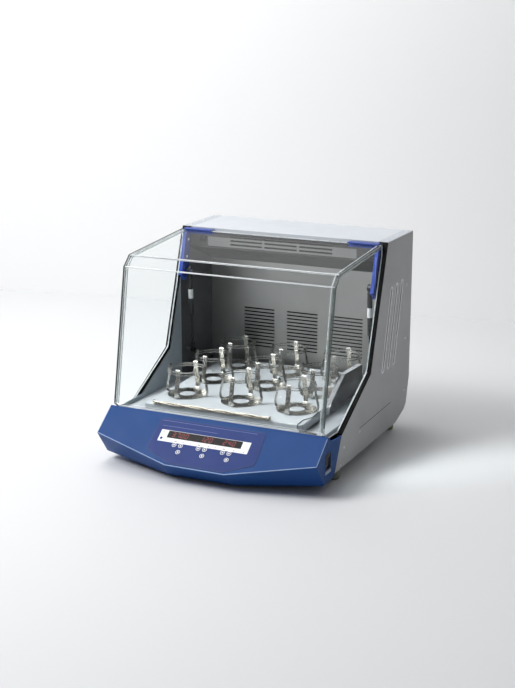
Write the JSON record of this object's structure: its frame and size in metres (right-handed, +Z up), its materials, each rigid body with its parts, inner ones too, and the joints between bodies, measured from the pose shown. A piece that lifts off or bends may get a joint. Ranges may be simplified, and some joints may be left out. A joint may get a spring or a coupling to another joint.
{
  "type": "orbital shaker",
  "caption": "Benchtop incubating orbital shaker with a lifting clear hood, a sloping control console and a platform of spring flask clamps.",
  "frame": {"origin": "middle of the body's overall box, on the surface the feet rest on", "axes": "+Z up, the console and the hood's front face -Y, +X to the right seen from the front"},
  "size_m": [0.58, 0.68, 0.52],
  "materials": {
    "panel_paint": "fine textured grey powder coat",
    "cover_paint": "light grey powder coat",
    "console_paint": "satin blue paint",
    "bracket_blue": "satin blue plastic",
    "chamber_steel": "dull grey sheet steel",
    "tray_paint": "pale blue-grey coating",
    "polished_steel": "polished stainless steel",
    "clamp_steel": "spring stainless steel",
    "machined_steel": "turned steel",
    "sheet_aluminium": "cast and sheet aluminium",
    "seal_rubber": "black rubber",
    "foot_rubber": "grey rubber",
    "black_plastic": "black plastic",
    "display_black": "dark red filter",
    "panel_film": "printed blue film",
    "key_film": "blue key film with white printed rings",
    "clear_sheet": "clear acrylic sheet"
  },
  "bodies": {
    "housing": {"side_panel_left": "panel_paint", "chamber_wall_left": "chamber_steel", "door_gasket_left": "seal_rubber", "side_panel_right": "panel_paint", "chamber_wall_right": "chamber_steel", "door_gasket_right": "seal_rubber", "top_cover": "cover_paint", "rear_panel": "panel_paint", "base_plate": "sheet_aluminium", "chamber_floor": "tray_paint", "air_grille": "chamber_steel", "upper_duct": "chamber_steel", "console_housing": "console_paint", "control_panel": "panel_film", "display_window": "display_black", "power_inlet": "black_plastic", "drive_frame": "sheet_aluminium", "drive_motor": "black_plastic", "drive_belt": "seal_rubber", "heater_element": "sheet_aluminium", "foot_front_left": "foot_rubber", "foot_front_right": "foot_rubber", "foot_rear_left": "foot_rubber", "foot_rear_right": "foot_rubber"},
    "hood": {"hood": "clear_sheet", "hood_bracket_left": "bracket_blue", "hood_bracket_right": "bracket_blue"},
    "strut_cylinder_left": {"strut_cylinder_left": "black_plastic"},
    "strut_cylinder_right": {"strut_cylinder_right": "black_plastic"},
    "strut_rod_left": {"strut_rod_left": "polished_steel"},
    "strut_rod_right": {"strut_rod_right": "polished_steel"},
    "crank": {"crank_shaft": "machined_steel", "drive_pulley": "sheet_aluminium"},
    "platform": {"platform": "tray_paint", "side_guard": "polished_steel", "retaining_bar": "polished_steel", "platform_carrier": "sheet_aluminium", "flask_clamp_front_left": "clamp_steel", "flask_clamp_front_centre": "clamp_steel", "flask_clamp_front_right": "clamp_steel", "flask_clamp_middle_left": "clamp_steel", "flask_clamp_middle_centre": "clamp_steel", "flask_clamp_middle_right": "clamp_steel", "flask_clamp_rear_left": "clamp_steel", "flask_clamp_rear_centre": "clamp_steel", "flask_clamp_rear_right": "clamp_steel"},
    "guide_crank_left": {"guide_crank_left": "machined_steel"},
    "guide_crank_right": {"guide_crank_right": "machined_steel"},
    "motor_rotor": {"motor_pulley": "sheet_aluminium"},
    "fan": {"fan_impeller": "sheet_aluminium"},
    "power_rocker": {"power_rocker": "black_plastic"},
    "key_temperature_down": {"key_temperature_down": "key_film"},
    "key_temperature_up": {"key_temperature_up": "key_film"},
    "key_temperature_set": {"key_temperature_set": "key_film"},
    "key_speed_down": {"key_speed_down": "key_film"},
    "key_speed_up": {"key_speed_up": "key_film"},
    "key_speed_set": {"key_speed_set": "key_film"},
    "key_timer_down": {"key_timer_down": "key_film"},
    "key_timer_up": {"key_timer_up": "key_film"},
    "key_timer_set": {"key_timer_set": "key_film"}
  },
  "joints": [
    {"name": "hood_hinge", "type": "hinge", "parent": "housing", "child": "hood", "pos_m": [0, 0.144, 0.509], "axis": [-1, 0, 0], "range_deg": [0, 60]},
    {"name": "strut_pivot_left", "type": "hinge", "parent": "hood", "child": "strut_cylinder_left", "pos_m": [-0.252, 0.123, 0.408], "axis": [-1, 0, 0], "range_deg": [-74.9, 0.5]},
    {"name": "strut_stroke_left", "type": "slide", "parent": "strut_cylinder_left", "child": "strut_rod_left", "axis": [0, 0.0641, -0.9979], "range_m": [-0.0005, 0.0828]},
    {"name": "strut_pivot_right", "type": "hinge", "parent": "hood", "child": "strut_cylinder_right", "pos_m": [0.252, 0.123, 0.408], "axis": [-1, 0, 0], "range_deg": [-74.9, 0.5]},
    {"name": "strut_stroke_right", "type": "slide", "parent": "strut_cylinder_right", "child": "strut_rod_right", "axis": [0, 0.0641, -0.9979], "range_m": [-0.0005, 0.0828]},
    {"name": "crank_turn", "type": "hinge", "parent": "housing", "child": "crank", "pos_m": [0, 0.041, 0.097], "axis": [0, 0, 1], "continuous": true},
    {"name": "platform_orbit", "type": "hinge", "parent": "crank", "child": "platform", "pos_m": [0, 0.031, 0.12], "axis": [0, 0, 1], "continuous": true},
    {"name": "guide_turn_left", "type": "hinge", "parent": "housing", "child": "guide_crank_left", "pos_m": [-0.12, 0.101, 0.097], "axis": [0, 0, 1], "continuous": true},
    {"name": "guide_turn_right", "type": "hinge", "parent": "housing", "child": "guide_crank_right", "pos_m": [0.12, 0.101, 0.097], "axis": [0, 0, 1], "continuous": true},
    {"name": "motor_turn", "type": "hinge", "parent": "housing", "child": "motor_rotor", "pos_m": [0.13, -0.079, 0.06], "axis": [0, 0, 1], "continuous": true},
    {"name": "fan_turn", "type": "hinge", "parent": "housing", "child": "fan", "pos_m": [0, 0.328, 0.228], "axis": [0, 1, 0], "continuous": true},
    {"name": "rocker_tip", "type": "hinge", "parent": "housing", "child": "power_rocker", "pos_m": [0.283, -0.224, 0.0715], "axis": [0, 1, 0], "range_deg": [-10, 0]},
    {"name": "key_temperature_down_press", "type": "slide", "parent": "housing", "child": "key_temperature_down", "axis": [0, 0.6046, -0.7965], "range_m": [0, 0.0008], "stiffness_N_per_m": 800, "springref_m": -0.0005},
    {"name": "key_temperature_up_press", "type": "slide", "parent": "housing", "child": "key_temperature_up", "axis": [0, 0.6046, -0.7965], "range_m": [0, 0.0008], "stiffness_N_per_m": 800, "springref_m": -0.0005},
    {"name": "key_temperature_set_press", "type": "slide", "parent": "housing", "child": "key_temperature_set", "axis": [0, 0.6046, -0.7965], "range_m": [0, 0.0008], "stiffness_N_per_m": 800, "springref_m": -0.0005},
    {"name": "key_speed_down_press", "type": "slide", "parent": "housing", "child": "key_speed_down", "axis": [0, 0.6046, -0.7965], "range_m": [0, 0.0008], "stiffness_N_per_m": 800, "springref_m": -0.0005},
    {"name": "key_speed_up_press", "type": "slide", "parent": "housing", "child": "key_speed_up", "axis": [0, 0.6046, -0.7965], "range_m": [0, 0.0008], "stiffness_N_per_m": 800, "springref_m": -0.0005},
    {"name": "key_speed_set_press", "type": "slide", "parent": "housing", "child": "key_speed_set", "axis": [0, 0.6046, -0.7965], "range_m": [0, 0.0008], "stiffness_N_per_m": 800, "springref_m": -0.0005},
    {"name": "key_timer_down_press", "type": "slide", "parent": "housing", "child": "key_timer_down", "axis": [0, 0.6046, -0.7965], "range_m": [0, 0.0008], "stiffness_N_per_m": 800, "springref_m": -0.0005},
    {"name": "key_timer_up_press", "type": "slide", "parent": "housing", "child": "key_timer_up", "axis": [0, 0.6046, -0.7965], "range_m": [0, 0.0008], "stiffness_N_per_m": 800, "springref_m": -0.0005},
    {"name": "key_timer_set_press", "type": "slide", "parent": "housing", "child": "key_timer_set", "axis": [0, 0.6046, -0.7965], "range_m": [0, 0.0008], "stiffness_N_per_m": 800, "springref_m": -0.0005}
  ],
  "couplings": [
    {"joint": "strut_pivot_left", "follows": "hood_hinge", "ratio": -1.2322},
    {"joint": "strut_stroke_left", "follows": "hood_hinge", "m_per_rad": 0.078614},
    {"joint": "strut_pivot_right", "follows": "hood_hinge", "ratio": -1.2322},
    {"joint": "strut_stroke_right", "follows": "hood_hinge", "m_per_rad": 0.078614},
    {"joint": "platform_orbit", "follows": "crank_turn", "ratio": -1},
    {"joint": "guide_turn_left", "follows": "crank_turn", "ratio": 1},
    {"joint": "guide_turn_right", "follows": "crank_turn", "ratio": 1},
    {"joint": "motor_turn", "follows": "crank_turn", "ratio": 4}
  ]
}
